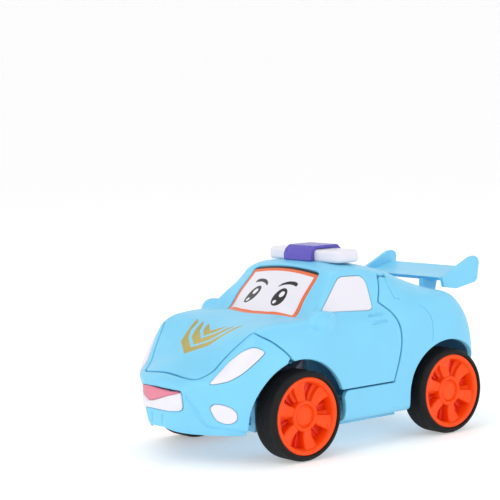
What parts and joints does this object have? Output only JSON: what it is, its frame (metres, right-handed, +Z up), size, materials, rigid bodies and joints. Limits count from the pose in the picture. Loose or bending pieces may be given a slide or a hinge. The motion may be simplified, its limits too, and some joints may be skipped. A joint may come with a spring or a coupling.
{
  "type": "transforming robot car",
  "caption": "Free-wheeling toy car whose cabin shell flips up on a four-bar linkage and shows a robot figure standing inside it.",
  "frame": {"origin": "middle of the closed car's length and width, on the ground under the tyres", "axes": "+X to the car's left, the nose towards -Y, +Z up"},
  "size_m": [0.0828, 0.1562, 0.0821],
  "materials": {
    "body_blue": "smooth injection-moulded, soft gloss",
    "lamp_white": "gloss",
    "white_plastic": "satin",
    "cap_purple": "gloss",
    "figure_purple": "gloss",
    "frame_grey": "satin",
    "rim_orange": "satin gloss",
    "tyre_black": "matte with fine grooves",
    "tongue_pink": "gloss",
    "gear_plastic": "satin",
    "steel": "bright"
  },
  "bodies": {
    "chassis": {"chassis_base": "body_blue", "chassis_deck": "body_blue", "chassis_screws": "steel", "rear_body": "body_blue", "spoiler": "body_blue", "motor_frame": "white_plastic", "shell_hinge_pin": "steel", "lift_pivot_pin": "steel", "lift_spring": "steel", "trigger_spring": "steel", "idler_shaft": "steel", "flywheel_shaft": "steel"},
    "trigger": {"trigger_block": "body_blue"},
    "front_wheels": {"front_axle": "steel", "front_left_rim": "rim_orange", "front_right_rim": "rim_orange", "front_left_tyre": "tyre_black", "front_right_tyre": "tyre_black"},
    "rear_wheels": {"rear_axle": "steel", "rear_left_rim": "rim_orange", "rear_right_rim": "rim_orange", "rear_left_tyre": "tyre_black", "rear_right_tyre": "tyre_black", "drive_gear": "gear_plastic"},
    "idler": {"idler_gear": "gear_plastic"},
    "flywheel": {"flywheel": "steel"},
    "shell": {"cabin_shell": "body_blue", "windshield": "lamp_white", "left_window": "lamp_white", "right_window": "lamp_white", "light_bar": "lamp_white", "light_bar_cap": "cap_purple", "shell_frame": "frame_grey", "figure_screws": "steel", "robot_torso": "figure_purple", "robot_head": "figure_purple", "nose_pins": "steel"},
    "left_arm": {"robot_left_arm": "figure_purple"},
    "right_arm": {"robot_right_arm": "figure_purple"},
    "nose": {"nose_shell": "body_blue", "nose_frame": "body_blue", "left_headlight": "lamp_white", "right_headlight": "lamp_white", "left_fog_lamp": "lamp_white", "right_fog_lamp": "lamp_white", "mouth_lips": "lamp_white", "tongue": "tongue_pink"},
    "lift_arm": {"lift_arm": "white_plastic", "lift_tip_pin": "steel"}
  },
  "joints": [
    {"name": "shell_hinge", "type": "hinge", "parent": "chassis", "child": "shell", "pos_m": [0, 0.01005, 0.07], "axis": [-1, 0, 0], "range_deg": [0, 90]},
    {"name": "nose_pivot", "type": "hinge", "parent": "shell", "child": "nose", "pos_m": [0, -0.01395, 0.05], "axis": [-1, 0, 0], "range_deg": [-90, 0]},
    {"name": "lift_pivot", "type": "hinge", "parent": "chassis", "child": "lift_arm", "pos_m": [0, 0.00005, 0.0435], "axis": [-1, 0, 0], "range_deg": [0, 90]},
    {"name": "left_shoulder", "type": "hinge", "parent": "shell", "child": "left_arm", "pos_m": [0.018, -0.03955, 0.0416], "axis": [1, 0, 0], "range_deg": [-12, 10]},
    {"name": "right_shoulder", "type": "hinge", "parent": "shell", "child": "right_arm", "pos_m": [-0.018, -0.03955, 0.0416], "axis": [1, 0, 0], "range_deg": [-12, 10]},
    {"name": "front_axle_spin", "type": "hinge", "parent": "chassis", "child": "front_wheels", "pos_m": [0, -0.03395, 0.018], "axis": [1, 0, 0], "continuous": true},
    {"name": "rear_axle_spin", "type": "hinge", "parent": "chassis", "child": "rear_wheels", "pos_m": [0, 0.04605, 0.018], "axis": [1, 0, 0], "continuous": true},
    {"name": "idler_spin", "type": "hinge", "parent": "chassis", "child": "idler", "pos_m": [0, 0.03774, 0.0228], "axis": [1, 0, 0], "continuous": true},
    {"name": "flywheel_spin", "type": "hinge", "parent": "chassis", "child": "flywheel", "pos_m": [0, 0.02861, 0.02577], "axis": [1, 0, 0], "continuous": true},
    {"name": "trigger_slide", "type": "slide", "parent": "chassis", "child": "trigger", "axis": [0, 1, 0], "range_m": [0, 0.0025], "stiffness_N_per_m": 250, "springref_m": -0.001}
  ],
  "couplings": [
    {"joint": "nose_pivot", "follows": "shell_hinge", "ratio": -1},
    {"joint": "lift_pivot", "follows": "shell_hinge", "ratio": 1},
    {"joint": "idler_spin", "follows": "rear_axle_spin", "ratio": -3},
    {"joint": "flywheel_spin", "follows": "rear_axle_spin", "ratio": 9}
  ]
}
